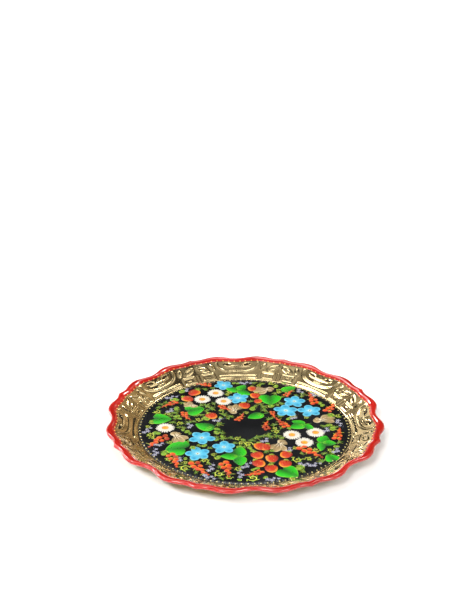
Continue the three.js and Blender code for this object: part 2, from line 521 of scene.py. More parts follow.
def plain(colour):
    """A tint that is the same colour all over."""
    return lambda t, x, y: colour


# ---------------------------------------------------------------- the colours of the painting

LEAF_DARK, LEAF, LEAF_LIGHT = palette("035604 20C60A 9AEE38")
BLUE_DEEP, BLUE, BLUE_PALE = palette("147AB0 48BEE8 A0E6F8")
WHITE, WHITE_SHADE = palette("F4F2E8 8A9088")
YOLK, YOLK_DARK = palette("F2B414 CC5A08")
BERRY_DARK, BERRY, BERRY_LIGHT = palette("8E1002 D43206 FFAA26")
SPRIG_DARK, SPRIG, SPRIG_LIGHT = palette("941A04 E84608 FFA02C")
LILAC, LILAC_PALE, LILAC_DARK = palette("8E92BE D4D6EA 545A84")
GOLD_DARK, GOLD, GOLD_LIGHT = palette("5C4824 CDB27C FFF4D6")
MOSS_DARK, MOSS, MOSS_LIGHT = palette("266C10 74B81E DCE650")
CREAM, AMBER = palette("F1E38C FFB445")


# ---------------------------------------------------------------- the motifs

# Petal shapes, as the two powers that petal() takes.
STRAP = (0.9, 0.42)
OVATE = (0.85, 0.62)
HEART = (0.85, 0.36)
POINTED = (0.45, 0.8)
TINY = (0.7, 0.4)


def daisy(paint, at, radius, rng):
    """White strap petals in two layers round a domed yellow middle that turns orange on one side."""
    turn = rng.uniform(0, 360)
    count = 22

    def shade(t, u, v):
        base = mix(WHITE_SHADE, WHITE, 0.5 + 1.1 * u)
        return mix(base, WHITE_SHADE, 1.3 * max(0.0, abs(v) - 0.35))

    for layer, (reach, lift) in enumerate(((1.0, 0.05), (0.80, 0.12))):
        for i in range(count):
            angle = turn + 360 / count * (i + 0.5 * layer) + rng.uniform(-3, 3)
            length = radius * (0.80 * reach + rng.uniform(-0.07, 0.05))
            put_petal(paint, at, angle, length, radius * 0.185, STRAP, shade, radius * 0.2, lift, 0.09, 12)
    shadow_side = rng.uniform(120, 240)

    def yolk(t, x, y):
        toward = t * facing(x, y, at, shadow_side)
        return mix(YOLK, YOLK_DARK, 0.1 + 0.7 * max(0.0, toward) + 0.25 * t * t)

    paint.dot(at, radius * 0.37, 16, yolk, 0.2, 0.3)
    for i in range(9):
        spot = place(radius * 0.22, 0, at, turn + 40 * i)
        paint.dot(spot, radius * 0.04, 7, plain(CREAM), 0.38, 0.05)


def blue_flower(paint, at, radius, rng, turn):
    """Five blue petals edged in pale blue, each with a deep blue spot, round a straw-coloured eye."""

    def shade(t, u, v):
        edge = step(t, 0.78, 0.98)
        spot = step(0.22 - math.hypot((u - 0.7) * 1.2, v * 0.42), 0.0, 0.14)
        base = mix(BLUE, BLUE_PALE, 0.6 * edge + 0.5 * max(0.0, 0.4 - u))
        return mix(base, BLUE_DEEP, 0.85 * spot + 0.25 * max(0.0, -v) * (1 - edge))

    for i in range(5):
        angle = turn + 72 * i + rng.uniform(-4, 4)
        length = radius * rng.uniform(0.98, 1.1)
        lift = 0.06 + 0.012 * i
        put_petal(paint, at, angle, length, radius * 0.8, OVATE, shade, radius * 0.04, lift, 0.16, 20)
        for side in (-1, 0, 1):
            start = place(radius * 0.22, side * radius * 0.06, at, angle)
            ray = arc_path(start, angle + side * 16, radius * 0.36, side * 8, 5)
            paint.stroke(ray, radius * 0.045, BLUE_PALE, BLUE, 0.26)
    for i in range(11):
        start = place(radius * 0.06, 0, at, turn + 33 * i)
        thread = arc_path(start, turn + 33 * i, radius * 0.2, 10, 4)
        paint.stroke(thread, radius * 0.05, GOLD_LIGHT, BLUE_PALE, 0.3)
    paint.dot(at, radius * 0.08, 10, lambda t, x, y: mix(GOLD_DARK, GOLD, t), 0.3, 0.12)


def leaf_lobe(paint, at, turn, length, width, shape, rng, lift, light_side):
    """A broad lobe, deep green on one side and bright on the other, with a rib and fine veins."""

    def shade(t, u, v):
        bright = 0.6 + 0.3 * (u - 0.4) + 0.75 * light_side * v
        edge = step(t, 0.86, 0.98) * max(0.0, 0.25 + 0.75 * light_side * v)
        return mix(mix(LEAF_DARK, LEAF, bright), LEAF_LIGHT, 0.8 * edge)

    put_petal(paint, at, turn, length, width, shape, shade, 0.0, lift, 0.2, 24)
    rib = arc_path(place(length * 0.05, 0, at, turn), turn, length * 0.8, rng.uniform(-8, 8), 6)
    paint.stroke(rib, 0.8, LEAF_DARK, LEAF_DARK, lift + 0.17)
    for i in range(4):
        for side in (-1, 1):
            vein = arc_path(rib[1 + i], turn + side * 40, width * (0.3 - 0.035 * i), -side * 18, 4)
            colour = LEAF_LIGHT if side == light_side else LEAF_DARK
            paint.stroke(vein, 0.5, mix(LEAF, colour, 0.7), LEAF, lift + 0.14)


# Each lobe of a leaf: (angle, length, width) from the point where its lobes meet.
LEAF_PLANS = {
    "single": ((0, 1.0, 0.74),),
    "heart": ((-19, 0.98, 0.56), (19, 1.0, 0.58)),
    "folded": ((22, 1.0, 0.62), (-24, 0.76, 0.56)),
    "trefoil": ((-94, 1.02, 0.74), (95, 0.94, 0.74), (0, 1.0, 0.72)),
    "ivy": ((-88, 1.06, 0.62), (72, 0.98, 0.88), (0, 1.0, 0.82)),
    "clover": ((100, 0.84, 0.54), (-54, 0.86, 0.66), (0, 1.0, 0.76)),
}


def leaf(paint, at, size, turn, plan, rng):
    """The lobes of a plan, a short stalk, and light strokes over the join. A heart grows from its tip."""
    from_tip = plan in ("heart", "folded")
    for i, (angle, length, width) in enumerate(LEAF_PLANS[plan]):
        shape = HEART if from_tip else POINTED
        side = 1 if angle >= 0 else -1
        leaf_lobe(paint, at, turn + angle, size * length, size * width, shape, rng, 0.05 + 0.03 * i, side)
    if from_tip:
        return
    stalk = arc_path(at, turn + 180, size * 0.5, rng.uniform(-40, 40), 5)
    paint.stroke(stalk, 1.4, MOSS, MOSS_DARK, 0.12)
    for side in (-1, 0, 1):
        start = place(size * 0.1, size * 0.06 * side, at, turn)
        light = arc_path(start, turn + 24 * side, size * 0.3, 30, 5)
        paint.stroke(light, 0.7, LEAF_LIGHT, MOSS_LIGHT, 0.32)


def strawberry(paint, at, radius, rng, turn):
    """A round berry, red in the middle with an amber crescent, light hatching and a green cap."""
    lit = rng.choice((200, 235, 300, 330))
    outline = []
    for i in range(26):
        a = 2 * math.pi * i / 26
        r = radius * (1.0 - 0.1 * math.cos(a) + 0.05 * math.cos(2 * a) - 0.05 * math.cos(3 * a))
        outline.append(place(r * math.cos(a), r * math.sin(a), at, turn))

    def tint(t, x, y):
        toward = facing(x, y, at, lit)
        crescent = step(t, 0.6, 0.95) * step(toward, 0.1, 0.9)
        base = mix(BERRY, BERRY_DARK, 0.9 * t * max(0.0, -toward) + 0.15)
        return mix(base, BERRY_LIGHT, 0.95 * crescent)

    paint.dab(outline, at, tint, 0.08, 0.42, (0.3, 0.55, 0.72, 0.86, 0.97))
    for i in range(-2, 3):
        start = place(radius * 0.5, radius * 0.27 * i, at, turn)
        hatch = arc_path(start, turn + 180 + 5 * i, radius * (0.95 - 0.12 * abs(i)), -6 * i, 5)
        paint.stroke(hatch, radius * 0.07, SPRIG_LIGHT, BERRY, 0.42)
    for i in range(8):
        a, r = rng.uniform(0, 360), radius * rng.uniform(0.25, 0.75)
        paint.dot(place(r, 0, at, a), radius * 0.045, 6, plain(CREAM), 0.4, 0.05)
    crown = place(radius * 0.86, 0, at, turn)
    for angle in (-75, -30, 10, 50, 85):
        blade = arc_path(crown, turn + angle, radius * 0.42, angle * 0.4, 4)
        paint.stroke(blade, radius * 0.17, MOSS, MOSS_LIGHT, 0.3)


# Each berry of a sprig: (share of the stalk, aside in berry sizes, size).
SPRIG_PLAN = (
    (0.02, 0.0, 1.0), (0.09, 1.6, 0.88), (0.24, -0.4, 0.98), (0.33, 1.2, 0.84), (0.46, -0.25, 0.9),
    (0.60, 0.4, 0.82), (0.74, -0.2, 0.7), (0.87, 0.2, 0.56), (0.98, 0.0, 0.42),
)


def berry_sprig(paint, greens, at, turn, rng, reach, bend):
    """Orange berries crowded on a bent stalk, smaller towards its tip, with leaves beside it."""
    size = min(4.9, reach * 0.135)
    side_of = rng.choice((-1, 1))
    steps = 20
    stalk = arc_path(at, turn - bend / 2, reach, bend, steps)
    greens.stroke(stalk, 0.9, MOSS_DARK, MOSS, 0.1)
    for i, (share, aside, scale) in enumerate(SPRIG_PLAN):
        leaning = turn - bend / 2 + bend * share
        side = side_of * aside * size + rng.uniform(-0.3, 0.3)
        spot = place(0, side, stalk[round(share * steps)], leaning)
        radius = size * scale * rng.uniform(0.92, 1.05)
        lit = rng.uniform(50, 150)
        dull = 0.75 if rng.random() < 0.22 else 0.0

        def tint(t, x, y):
            toward = facing(x, y, spot, lit)
            glow = step(t, 0.35, 0.85) * step(toward, -0.1, 0.8) * (1 - 0.7 * dull)
            base = mix(SPRIG, SPRIG_DARK, max(dull, 0.9 * t * t * max(0.2, -toward)))
            return mix(base, SPRIG_LIGHT, 0.95 * glow)

        paint.dot(spot, radius, 14, tint, 0.07 + 0.012 * i, 0.28, 0.88, leaning + rng.uniform(-30, 30))
    for k, along in enumerate((1, 7, 13, 17)):
        side = side_of * (-1) ** k
        foot = arc_path(stalk[along], turn + side * (70 + 12 * k), size * 1.9, -side * 30, 4)
        greens.stroke(foot, size * 0.36, MOSS_DARK, MOSS_LIGHT, 0.09)


def lilac_flower(paint, at, turn, rng, count):
    """A small group of grey-lilac stars with cream eyes, and a few dabs trailing off."""
    size = 3.6

    def shade(t, u, v):
        base = mix(LILAC_DARK, LILAC, 0.3 + u)
        return mix(base, LILAC_PALE, step(t, 0.3, 0.9) * (0.4 + 0.6 * u))

    for i in range(count):
        middle = place(size * 1.35 * (i - (count - 1) / 2), size * 0.5 * (-1) ** i, at, turn)
        start = rng.uniform(0, 360)
        scale = size * (1.0 if i < 2 else 0.72)
        for j in range(5):
            angle = start + 72 * j
            put_petal(paint, middle, angle, scale * 0.95, scale * 0.5, TINY, shade, 0.15, 0.07, 0.09, 9)
        paint.dot(middle, scale * 0.17, 7, plain(CREAM), 0.16, 0.08)
    for k in range(3):
        spot = place(size * (0.7 * count + 0.6 * k), size * rng.uniform(-0.4, 0.4), at, turn)
        paint.dot(spot, size * (0.2 - 0.04 * k), 7, plain(LILAC), 0.07, 0.08, 0.6, turn)


# Each lobe of a bronze bloom: (angle, length, width) in shares of its size.
BLOOM_LOBES = ((-34, 0.78, 0.46), (38, 0.74, 0.44), (0, 0.86, 0.42), (176, 0.5, 0.5), (128, 0.42, 0.3))


def gold_bloom(paint, at, size, turn):
    """A folded leaf in bronze powder: pointed lobes striped in brown and cream, and a pale fold across."""

    def shade(t, u, v):
        base = mix(GOLD_DARK, GOLD, 0.35 + 0.5 * u + 0.45 * v)
        return mix(base, GOLD_LIGHT, 0.75 * step(t, 0.82, 0.97) * max(0.0, 0.5 + 0.7 * v))

    for i, (angle, length, width) in enumerate(BLOOM_LOBES):
        along = turn + angle
        lift = 0.06 + 0.03 * i
        put_petal(paint, at, along, size * length, size * width, OVATE, shade, 0.0, lift, 0.26, 16)
        for k in range(4):
            aside = k - 1.5
            start = place(size * 0.06, size * 0.05 * aside, at, along)
            hatch = arc_path(start, along + 13 * aside, size * length * 0.75, -9 * aside, 5)
            paint.stroke(hatch, 1.3, GOLD_LIGHT if k % 2 else GOLD_DARK, GOLD, 0.32 + 0.03 * i)
    for side in (-1, 1):
        start = place(-size * 0.28, side * size * 0.16, at, turn)
        fold = arc_path(start, turn - side * 12, size * 0.7, side * 40, 8)
        paint.stroke(fold, 1.2, GOLD_LIGHT, GOLD, 0.46)
    glint = place(-size * 0.04, size * 0.04, at, turn)
    paint.dot(glint, size * 0.09, 10, plain(GOLD_LIGHT), 0.46, 0.08, 0.6, turn)


def tuft(paint, at, turn, size, rng):
    """A fan of grass-green strokes from one point."""
    for i in range(8):
        side = i - 3.5
        leaning = turn + 21 * side + rng.uniform(-6, 6)
        blade = arc_path(at, leaning, size * rng.uniform(0.75, 1.15) * (1 - 0.07 * abs(side)), 14 * side, 5)
        paint.stroke(blade, size * 0.125, MOSS_DARK, MOSS_LIGHT if i % 2 else MOSS, 0.08)


def curl(paint, at, turn, size, hand):
    """A yellow-green spiral on a dark green ground, a dot in its eye and a few blades on its back."""
    paint.dot(at, size * 0.26, 12, lambda t, x, y: mix(MOSS_DARK, LEAF_DARK, t), 0.04, 0.03)
    path = [place(size * (0.56 - 0.028 * i), 0, at, turn + hand * 28 * i) for i in range(19)]
    paint.stroke(path, size * 0.13, MOSS_LIGHT, MOSS_LIGHT, 0.12)
    paint.dot(at, size * 0.08, 8, plain(YOLK), 0.14, 0.12)
    for i in range(6):
        leaning = turn + hand * (28 * (0.5 + 2 * i) + 40)
        blade = arc_path(path[2 * i], leaning, size * 0.45, hand * 20, 4)
        paint.stroke(blade, size * 0.14, MOSS, MOSS_DARK if i % 2 else MOSS_LIGHT, 0.07)


def bud(paint, at, turn, size):
    """A pear-shaped green bud with a looped yellow outline inside it."""

    def shade(t, u, v):
        return mix(mix(MOSS_DARK, MOSS, 0.2 + 0.6 * u), MOSS_LIGHT, step(t, 0.84, 0.98) * 0.7)

    put_petal(paint, at, turn, size, size * 0.62, OVATE, shade, 0.0, 0.07, 0.2, 16)
    loop = disc(place(size * 0.62, 0, at, turn), size * 0.15, 9, 0.85, turn)
    paint.stroke(loop + loop[:1], size * 0.08, MOSS_LIGHT, YOLK, 0.28)
    for side in (-1, 1):
        sepal = arc_path(at, turn + side * 62, size * 0.7, -side * 40, 5)
        paint.stroke(sepal, size * 0.1, MOSS_LIGHT, MOSS, 0.08)


# ---------------------------------------------------------------- where the motifs are

# Each is (x, y, size) or (x, y, size, turn, ...) in millimetres and degrees, seen from above with the tray's
# near side at the bottom.
DAISIES = (
    (-113, -3, 13.5), (67, -21, 13), (101, -14, 13.5), (83, -42, 13.5), (-42, 104, 13), (-62, 84, 13),
    (-30, 78, 12.5),
)
BLUE_FLOWERS = (
    (62, 50, 17, 90), (97, 50, 16.5, 100), (76, 79, 16, 80), (-60, -31, 17, 60), (-65, -74, 17, 104),
    (-29, -56, 16, 20), (-30, 130, 14, 50), (-8, 88, 15, 30),
)
# (x, y, size, turn, plan): the point where the lobes meet, or a heart's tip.
LEAVES = (
    (40, 67, 33, 90, "heart"), (69, -132, 31, 136, "heart"),
    (-105, 22, 29, 176, "heart"), (-110, -64, 37, 12, "folded"), (-8, -80, 26, 180, "trefoil"),
    (107, -42, 21, -6, "ivy"), (87, 9, 24, 205, "clover"), (-8, 112, 22, 60, "trefoil"),
    (-58, 56, 30, 200, "heart"), (60, 110, 26, 40, "single"), (-44, -6, 30, 150, "single"),
    (28, 40, 26, 210, "single"), (112, -74, 20, 300, "heart"),
)
STRAWBERRIES = (
    (21, -52, 9.2, 100), (29, -54, 8.8, 70), (16.3, -76, 9.2, 110), (56.5, -74, 8.8, 60),
    (36.3, -84, 9.3, 90), (17.5, -97, 9.4, 120), (54, -97.5, 9.2, 80),
    (34.5, -110, 9.4, 95), (-74, 106, 9.5, 60), (-85, 86, 9, 140), (18, 98, 8.5, 80),
    (14, 120, 7.5, 90), (1, 66, 9, 100), (22, 80, 6.5, 60), (-48, 34, 9, 120),
)
GOLD_BLOOMS = (
    (35, 117, 25, 200), (112, 22, 25, 20), (-96, -26, 25, 300), (49, -47, 26, 250),
    (-76, 64, 18, 150), (-14, 50, 22, 80),
)
# (x, y, turn, length, bend), from the end with the big berries.
SPRIGS = (
    (-112, -26, 236, 37, 25), (-99, -75, 282, 34, -10), (-73, -99, 309, 37, 10),
    (-26, -96, 276, 36, -10), (22, -120, 200, 24, -20), (75, -58, 322, 38, -15),
    (126, -30, 70, 30, 30), (103, 73, 95, 32, 15), (120, 51, 58, 30, 40), (63, 4, 125, 28, -20),
    (40, 46, 285, 18, 0), (-100, 73, 215, 25, 20), (-90, 42, 300, 24, 40), (-12, 22, 60, 22, 50),
    (-52, 128, 165, 26, 30), (30, -6, 80, 24, -40), (-36, 62, 330, 22, 40), (66, 96, 60, 22, -40),
)
LILACS = (
    (86, 112, 300, 3), (-108, 90, 30, 4), (-108, 48, 60, 3), (-138, -10, 70, 4),
    (137, 14, 290, 4), (117, -7, 60, 3), (-123, -70, 100, 4), (-119, -50, 20, 3), (-90, -90, 60, 3),
    (-46, -110, 80, 4), (-48, -133, 340, 4), (2, -103, 60, 4), (-7, -125, 100, 4), (36, -137, 20, 4),
    (94, -100, 35, 4), (61, -62, 60, 3), (29, -37, 50, 3), (4, 138, 10, 4), (-88, 112, 45, 3),
    (-38, 20, 30, 3), (73, 30, 60, 3), (-78, 4, 100, 3), (126, -64, 60, 3), (108, 100, 320, 3),
    (79, -100, 0, 3),
)
# (x, y, turn, size)
CURLS = (
    (-81, -112, 20, 13), (-35, -125, 90, 12), (9, -135, 200, 13), (71, -88, 120, 12),
    (-55, -92, 300, 10), (-104, -88, 60, 9), (-128, 44, 100, 10), (72, 34, 80, 9), (106, 110, 60, 9),
    (-22, -133, 10, 8), (62, -136, 60, 8), (98, -62, 0, 9), (138, 34, 60, 8), (-20, 108, 40, 9),
    (44, 138, 0, 9), (-92, 10, 250, 9), (-9, -113, 60, 9), (86, -86, 200, 9), (118, -62, 30, 8),
)
BUDS = (
    (129, 42, 250, 15), (125, -8, 80, 12), (-108, -66, 250, 14), (77, -102, 235, 15),
    (-132, 8, 100, 12), (-52, 20, 120, 13), (-96, 104, 60, 12), (60, 138, 20, 11), (12, 50, 80, 12),
    (-40, -88, 60, 11), (-110, 80, 30, 12), (-74, -54, 300, 12), (-98, 60, 250, 10),
)
# The small motifs that fill the gaps: how far out they go, how often one is tried, and their kinds' shares.
CENTRE_CLEAR = 34.0
WREATH_RADIUS = 143.0
TRIES = 5000
FILL_SIZES = (6.5, 8.0, 9.5, 11.0)
TUFTS, TUFTS_AND_CURLS = 0.62, 0.82


def paint_floor(colours, bronze):
    """The whole painting: the named motifs, then grass, curls and small buds in what ground is left."""
    rng = random.Random(17)
    greens, flowers, berries, gold = Paint(), Paint(), Paint(), Paint()
    taken = []
    for x, y, size in DAISIES:
        daisy(flowers, (x, y), size, rng)
        taken.append((x, y, size))
    for x, y, size, turn in BLUE_FLOWERS:
        blue_flower(flowers, (x, y), size, rng, turn)
        taken.append((x, y, size))
    for x, y, size, turn, plan in LEAVES:
        leaf(greens, (x, y), size, turn, plan, rng)
        whole = plan in ("single", "heart", "folded")
        reach = place(size * (0.55 if whole else 0.1), 0, (x, y), turn)
        taken.append((*reach, size * (0.45 if whole else 0.72)))
    for x, y, size, turn in STRAWBERRIES:
        strawberry(berries, (x, y), size, rng, turn)
        taken.append((x, y, size))
    for x, y, size, turn in GOLD_BLOOMS:
        gold_bloom(gold, (x, y), size, turn)
        taken.append((x, y, size * 0.5))
    for x, y, turn, reach, bend in SPRIGS:
        berry_sprig(berries, greens, (x, y), turn, rng, reach, bend)
        for share in (0.15, 0.5, 0.85):
            taken.append((*place(reach * share, 0, (x, y), turn), 7.5 - 4 * share))
    for x, y, turn, count in LILACS:
        lilac_flower(flowers, (x, y), turn, rng, count)
        taken.append((x, y, count * 1.6))
    for x, y, turn, size in CURLS:
        curl(greens, (x, y), turn, size, rng.choice((-1, 1)))
        taken.append((x, y, size * 0.6))
    for x, y, turn, size in BUDS:
        bud(greens, (x, y), turn, size)
        taken.append((x, y, size * 0.5))
    fill_gaps(greens, taken, rng)
    greens.finish("painted_leaves", colours, "floral_paint")
    flowers.finish("painted_flowers", colours, "floral_paint")
    berries.finish("painted_berries", colours, "floral_paint")
    gold.finish("painted_gold", bronze, "floral_paint")


def fill_gaps(greens, taken, rng):
    """Tufts, curls and buds wherever the ground between the motifs leaves room for them."""
    for _ in range(TRIES):
        radius = math.sqrt(rng.uniform(CENTRE_CLEAR**2, WREATH_RADIUS**2))
        angle = rng.uniform(0, 360)
        size = rng.choice(FILL_SIZES)
        x, y = place(radius, 0, (0, 0), angle)
        room = size * 0.42
        if radius + room > WREATH_RADIUS:
            continue
        if any(math.hypot(x - tx, y - ty) < tr + room * 1.25 for tx, ty, tr in taken):
            continue
        turn = rng.uniform(0, 360)
        kind = rng.random()
        if kind < TUFTS:
            tuft(greens, place(-size * 0.4, 0, (x, y), turn), turn, size, rng)
        elif kind < TUFTS_AND_CURLS:
            curl(greens, (x, y), turn, size, rng.choice((-1, 1)))
        else:
            bud(greens, place(-size * 0.5, 0, (x, y), turn), turn, size * 1.1)
        taken.append((x, y, room))


RIM_DOTS = 128
RIM_DOT_RADIUS = 1.05
RIM_DOT_STAND = 0.3


def paint_border_dots(material, rng):
    """A cream dot in each of the ground's scallops."""
    border = Paint()
    for i in range(SCALLOPS):
        angle = 360 / SCALLOPS * (i + 0.5) - PAINT_TURN + rng.uniform(-0.15, 0.15)
        spot = place(GROUND_RADIUS - 1.9 + rng.uniform(-0.2, 0.2), 0, (0, 0), angle)
        radius = rng.uniform(0.8, 1.05) * 1.25
        border.dot(spot, radius, 10, lambda t, x, y: mix(CREAM, GOLD, t * 0.3), 0.08, 0.25, 0.8, angle)
    border.finish("border_dots", material, "floral_paint")


def paint_rim_dots(material, rng):
    """Amber dots along the enamel's inner edge, each a small dome on the flange."""
    points, colours, faces = [], [], []
    steps = 10
    for i in range(RIM_DOTS):
        degrees = 360 / RIM_DOTS * (i + 0.5) + rng.uniform(-0.2, 0.2)
        centre, normal = enamel_point(WALL_TOP[0] + 2.1 + rng.uniform(-0.15, 0.15), degrees)
        c, s = cos_sin(degrees)
        across = Vector((-s, c, 0))
        along = normal.cross(across)
        radius = RIM_DOT_RADIUS * rng.uniform(0.85, 1.12)
        start = len(points)
        for t, height in ((1.0, -0.25), (0.97, 0.12), (0.7, 0.34), (0.35, 0.46)):
            for k in range(steps):
                a = 2 * math.pi * k / steps
                aside = across * math.cos(a) + along * math.sin(a)
                points.append(centre + aside * radius * t + normal * height)
                colours.append(mix(AMBER, SPRIG_LIGHT, t * 0.5))
        points += [centre + normal * 0.5, centre - normal * 0.25]
        colours += [CREAM, AMBER]
        last = start + 3 * steps
        for k in range(steps):
            n = (k + 1) % steps
            for a in range(start, last, steps):
                faces.append((a + k, a + steps + k, a + steps + n, a + n))
            faces.append((last + k, last + steps, last + n))
            faces.append((start + k, start + n, last + steps + 1))
    rim_dots = make_object("rim_dots", points, faces, (material,), attributes={"paint": colours})


def enamel_point(mean_radius, degrees):
    """The enamel's surface and its outward normal at a mean radius on the flange."""
    flange = [row for row in upper_section() if row[0] > WALL_TOP[0] - 0.1]
    a, b = next((p, q) for p, q in zip(flange, flange[1:]) if p[0] <= mean_radius <= q[0])
    t = (mean_radius - a[0]) / (b[0] - a[0])
    r, z, nr, nz, share = (lerp(p, q, t) for p, q in zip(a, b))
    r += share * float(wave(fold_of(degrees))) + RIM_DOT_STAND * nr
    c, s = cos_sin(degrees)
    return Vector((r * c, r * s, z + RIM_DOT_STAND * nz)), Vector((nr * c, nr * s, nz))


# ---------------------------------------------------------------- the materials


class Nodes:
    """A short way to write the nodes of a material or of the world."""

    def __init__(self, owner, coordinates="Object"):
        owner.use_nodes = True
        self.owner = owner
        self.tree = owner.node_tree
        self.place = self.add("ShaderNodeTexCoord").outputs[coordinates]

    def add(self, kind, sockets=None, **settings):
        """A node with its settings, and what each of its sockets is fed."""
        node = self.tree.nodes.new(kind)
        for key, value in settings.items():
            setattr(node, key, value)
        for key, value in (sockets or {}).items():
            self.feed(value, node.inputs[key])
        return node

    def feed(self, value, target):
        """Sets a number, a colour (a tuple) or a vector (a list) on a socket, or links an output to it."""
        if isinstance(value, (int, float, list)):
            target.default_value = value
        elif isinstance(value, tuple):
            target.default_value = (*value, 1.0)
        else:
            self.tree.links.new(value, target)

    def noise(self, scale, detail, roughness, stretch=None):
        source = self.place
        if stretch:
            mapping = self.add("ShaderNodeMapping", {"Scale": stretch, "Vector": source})
            source = mapping.outputs["Vector"]
        sockets = {"Scale": scale, "Detail": detail, "Roughness": roughness, "Vector": source}
        return self.add("ShaderNodeTexNoise", sockets).outputs["Fac"]

    def ramp(self, source, low, high, to_low=0.0, to_high=1.0, kind="SMOOTHSTEP"):
        sockets = {"Value": source, "From Min": low, "From Max": high, "To Min": to_low, "To Max": to_high}
        return self.add("ShaderNodeMapRange", sockets, interpolation_type=kind).outputs["Result"]

    def math(self, operation, a, b):
        return self.add("ShaderNodeMath", {0: a, 1: b}, operation=operation).outputs[0]

    def vector(self, operation, sockets):
        return self.add("ShaderNodeVectorMath", sockets, operation=operation)

    def blend(self, factor, a, b, mode="MIX"):
        sockets = {"Factor": factor, 6: a, 7: b}
        return self.add("ShaderNodeMix", sockets, data_type="RGBA", blend_type=mode).outputs[2]

    def attribute(self, name, output):
        return self.add("ShaderNodeAttribute", attribute_name=name).outputs[output]

    def put(self, **values):
        """Feeds the sockets of the material's shader."""
        for key, value in values.items():
            self.feed(value, self.tree.nodes["Principled BSDF"].inputs[key.replace("_", " ")])

    def bump(self, *layers):
        """Each layer is (height, strength, distance in metres)."""
        below = {}
        for height, strength, distance in layers:
            sockets = {"Height": height, "Strength": strength, "Distance": distance, **below}
            below = {"Normal": self.add("ShaderNodeBump", sockets).outputs["Normal"]}
        self.put(**below)


def new_material(name):
    return Nodes(bpy.data.materials.new(name))


def darker(colour, share):
    return tuple(c * share for c in colour)


def make_brass(name, bright, brown, rough_low, rough_high, dent):
    """Pressed brass sheet: brown patina in the low places of its pattern, a painted dark reflection in its
    pressed dimples, drawn unevenly, with rubbed high places.
    """
    m = new_material(name)
    patches = m.noise(26.0, 4.0, 0.6)
    specks = m.noise(900.0, 2.0, 0.6)
    relief = m.attribute("relief", "Fac")
    hollow = m.ramp(relief, 0.05, 0.7, 1.0, 0.0)
    stain = m.math("MULTIPLY", hollow, m.ramp(patches, 0.35, 0.7, 0.05, 0.35))
    toned = m.blend(m.ramp(patches, 0.3, 0.75), bright, darker(bright, 0.9))
    colour = m.blend(stain, toned, brown)
    # Painted dark reflection: the pressed dimples, where the relief sinks below zero, are coloured a
    # near-black brown.
    colour = m.blend(m.ramp(relief, -0.7, -0.15, 0.94, 0.0), colour, darker(brown, 0.2))
    colour = m.blend(m.ramp(specks, 0.68, 0.80, 0.0, 0.35), colour, brown)
    uneven = m.ramp(patches, 0.3, 0.7, rough_low, rough_high)
    rough = m.math("ADD", uneven, m.ramp(specks, 0.5, 0.8, 0.0, 0.08))
    waves = m.noise(55.0, 1.5, 0.5)
    scuffs = m.noise(380.0, 2.0, 0.5)
    m.put(Base_Color=colour, Roughness=rough, Metallic=1.0)
    m.bump((waves, 0.5, dent), (scuffs, 0.04, 0.0001))
    return m.owner


def make_lacquer(name, deep, worn, rough_low, rough_high, coat, peel):
    """Lacquer or enamel under a clear coat, slightly uneven in tone, with a faint orange peel."""
    m = new_material(name)
    patches = m.noise(14.0, 4.0, 0.55)
    dust = m.noise(1500.0, 2.0, 0.6)
    colour = m.blend(m.ramp(patches, 0.3, 0.72), deep, worn)
    colour = m.blend(m.ramp(dust, 0.70, 0.80, 0.0, 0.35), colour, tuple(0.6 * c + 0.1 for c in worn))
    rough = m.ramp(patches, 0.25, 0.75, rough_low, rough_high)
    m.put(Base_Color=colour, Roughness=rough, Coat_Weight=coat, Coat_Roughness=0.04, IOR=1.5)
    m.bump((m.noise(300.0, 2.0, 0.5), 0.25, peel), (m.noise(40.0, 1.0, 0.4), 0.3, peel * 3))
    return m.owner


# How much deeper the colours dry than they are mixed.
PAINT_DEPTH = (0.84, 0.82, 0.80)


def make_paint(name, metallic, rough_low, rough_high):
    """The painter's colours, taken from the dabs themselves, streaked a little by the brush."""
    m = new_material(name)
    streaks = m.noise(620.0, 4.0, 0.6, stretch=[1.0, 0.4, 1.0])
    clouds = m.noise(110.0, 3.0, 0.5)
    own = m.blend(1.0, m.attribute("paint", "Color"), PAINT_DEPTH, "MULTIPLY")
    thin = m.blend(1.0, own, (0.72, 0.70, 0.66), "MULTIPLY")
    colour = m.blend(m.ramp(streaks, 0.35, 0.62, 0.0, 0.55), own, thin)
    colour = m.blend(m.ramp(clouds, 0.45, 0.75, 0.0, 0.35), colour, thin)
    m.put(Base_Color=colour, Roughness=m.ramp(streaks, 0.3, 0.7, rough_low, rough_high), Metallic=metallic)
    m.put(Coat_Weight=0.1, Coat_Roughness=0.1, Specular_IOR_Level=0.3)
    m.bump((streaks, 0.25, 0.0002))
    return m.owner


def make_steel(name):
    m = new_material(name)
    rust = m.noise(200.0, 4.0, 0.6)
    colour = m.blend(m.ramp(rust, 0.5, 0.7), linear("9A9C9E"), linear("6B5B4E"))
    m.put(Base_Color=colour, Roughness=m.ramp(rust, 0.4, 0.7, 0.3, 0.6), Metallic=1.0)
    m.bump((rust, 0.2, 0.0001))
    return m.owner


def make_floor(name):
    m = new_material(name)
    cloud = m.noise(1.5, 2.0, 0.5)
    m.put(Base_Color=m.blend(cloud, linear("FAFAF9"), linear("F7F7F6")), Roughness=0.75)
    return m.owner


# ---------------------------------------------------------------- the room, the lights and the camera

FLOOR_SIZE = 200.0
FLOOR_DROP = 0.0002


def build_floor():
    """The plain pale floor, wide enough to reach the horizon."""
    half = FLOOR_SIZE / 2
    corners = [(x * half, y * half, 0) for x, y in ((-1, -1), (1, -1), (1, 1), (-1, 1))]
    mesh = bpy.data.meshes.new("floor")
    mesh.from_pydata(corners, [], [(0, 1, 2, 3)])
    mesh.materials.append(make_floor("floor_white"))
    floor = bpy.data.objects.new("floor", mesh)
    floor.location.z = -FLOOR_DROP
    bpy.context.scene.collection.objects.link(floor)


def heading(azimuth, elevation):
    """A direction: azimuth in degrees to the right of +Y, elevation above the horizon."""
    ahead, aside = cos_sin(azimuth)
    level, up = cos_sin(elevation)
    return Vector((aside * level, ahead * level, up))


